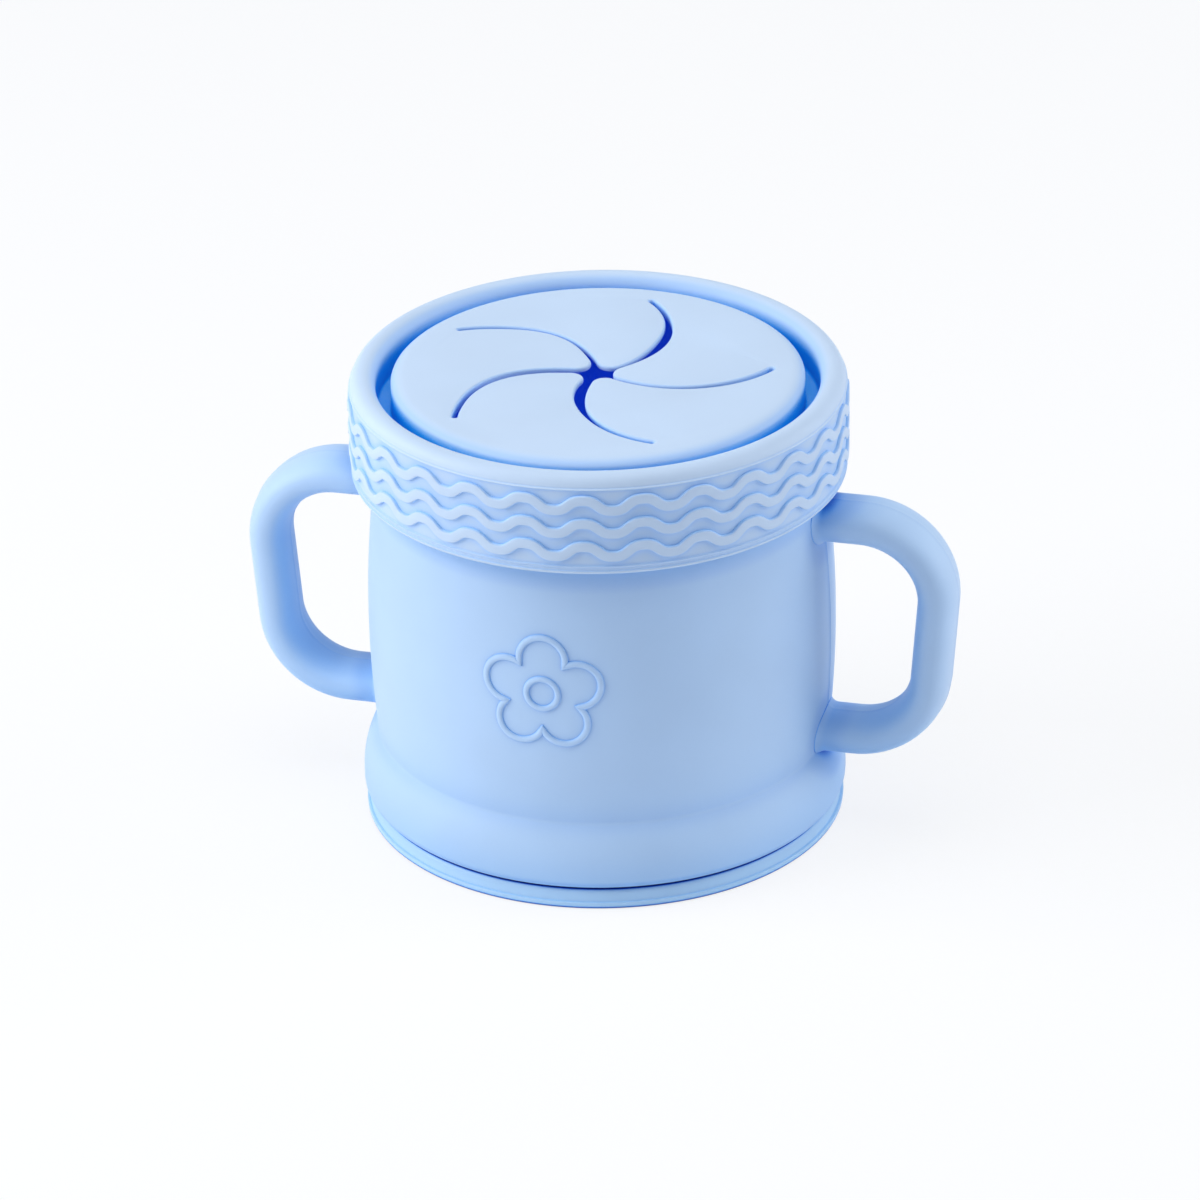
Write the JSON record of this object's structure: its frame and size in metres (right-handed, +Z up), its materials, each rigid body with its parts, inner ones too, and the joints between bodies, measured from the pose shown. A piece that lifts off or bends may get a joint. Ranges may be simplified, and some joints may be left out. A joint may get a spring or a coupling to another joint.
{
  "type": "toddler snack cup",
  "caption": "Barrel-shaped soft silicone snack cup with two side handles, a lid whose slit disc bends in for a small hand, and a plug-in base cover.",
  "frame": {"origin": "middle of the underside of the base cover, on the surface that the cup stands on", "axes": "+Z up through the cup's axis, +X through the right handle, so both handles lie in the XZ plane; -Y faces the viewer"},
  "size_m": [0.134, 0.0912, 0.0874],
  "materials": {
    "cup_silicone": "matte pale blue silicone",
    "lid_silicone": "matte pale blue silicone",
    "base_silicone": "matte pale blue silicone"
  },
  "bodies": {
    "base_cover": {"base_cover": "base_silicone"},
    "cup": {"cup_body": "cup_silicone", "left_handle": "cup_silicone", "right_handle": "cup_silicone"},
    "lid": {"lid_shell": "lid_silicone", "lid_wave_ribs": "lid_silicone"},
    "flap_1": {"flap_1": "lid_silicone"},
    "flap_2": {"flap_2": "lid_silicone"},
    "flap_3": {"flap_3": "lid_silicone"},
    "flap_4": {"flap_4": "lid_silicone"},
    "flap_5": {"flap_5": "lid_silicone"}
  },
  "joints": [
    {"name": "cup_lift", "type": "slide", "parent": "base_cover", "child": "cup", "axis": [0, 0, 1], "range_m": [0, 0.025]},
    {"name": "lid_lift", "type": "slide", "parent": "cup", "child": "lid", "axis": [0, 0, 1], "range_m": [0, 0.03]},
    {"name": "flap_1_bend", "type": "hinge", "parent": "lid", "child": "flap_1", "pos_m": [0.00806, 0.0169, 0.086], "axis": [0.9026, -0.4305, 0], "range_deg": [-45, 65], "stiffness_Nm_per_rad": 0.01},
    {"name": "flap_2_bend", "type": "hinge", "parent": "lid", "child": "flap_2", "pos_m": [-0.01358, 0.01289, 0.086], "axis": [0.6884, 0.7254, 0], "range_deg": [-45, 65], "stiffness_Nm_per_rad": 0.01},
    {"name": "flap_3_bend", "type": "hinge", "parent": "lid", "child": "flap_3", "pos_m": [-0.01646, -0.00894, 0.086], "axis": [-0.4772, 0.8788, 0], "range_deg": [-45, 65], "stiffness_Nm_per_rad": 0.01},
    {"name": "flap_4_bend", "type": "hinge", "parent": "lid", "child": "flap_4", "pos_m": [0.00341, -0.01841, 0.086], "axis": [-0.9833, -0.1822, 0], "range_deg": [-45, 65], "stiffness_Nm_per_rad": 0.01},
    {"name": "flap_5_bend", "type": "hinge", "parent": "lid", "child": "flap_5", "pos_m": [0.01857, -0.00244, 0.086], "axis": [-0.1305, -0.9914, 0], "range_deg": [-45, 65], "stiffness_Nm_per_rad": 0.01}
  ]
}
